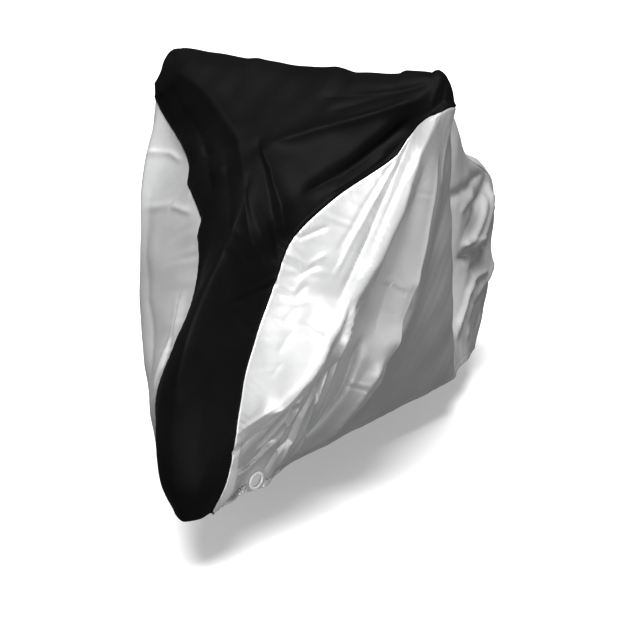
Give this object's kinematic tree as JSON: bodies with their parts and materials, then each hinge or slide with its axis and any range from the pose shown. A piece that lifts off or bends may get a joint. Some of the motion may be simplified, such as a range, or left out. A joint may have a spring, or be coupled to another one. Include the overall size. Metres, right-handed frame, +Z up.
{
  "type": "bicycle cover",
  "caption": "Hollow fitted cover in silver and dark cloth, shaped over a handlebar, saddle and wheels, with an open hem and eyelets in its front hem.",
  "frame": {"origin": "underside of the cloth at the middle of the handlebar, where the bicycle's handlebar holds the cover up", "axes": "+X the way the bicycle points, +Y its left side, +Z up"},
  "size_m": [1.862, 0.7238, 0.9427],
  "materials": {
    "dark_cloth": "coated woven cloth, satin",
    "silver_cloth": "silver coated woven cloth, satin sheen",
    "eyelet_ring": "satin"
  },
  "bodies": {
    "root": {"centre_panel": "dark_cloth", "rear_panel": "silver_cloth", "side_panel_left": "silver_cloth", "side_panel_right": "silver_cloth", "hem_strip_left": "silver_cloth", "hem_strip_right": "silver_cloth", "eyelet_left": "eyelet_ring", "eyelet_right": "eyelet_ring"}
  },
  "joints": []
}
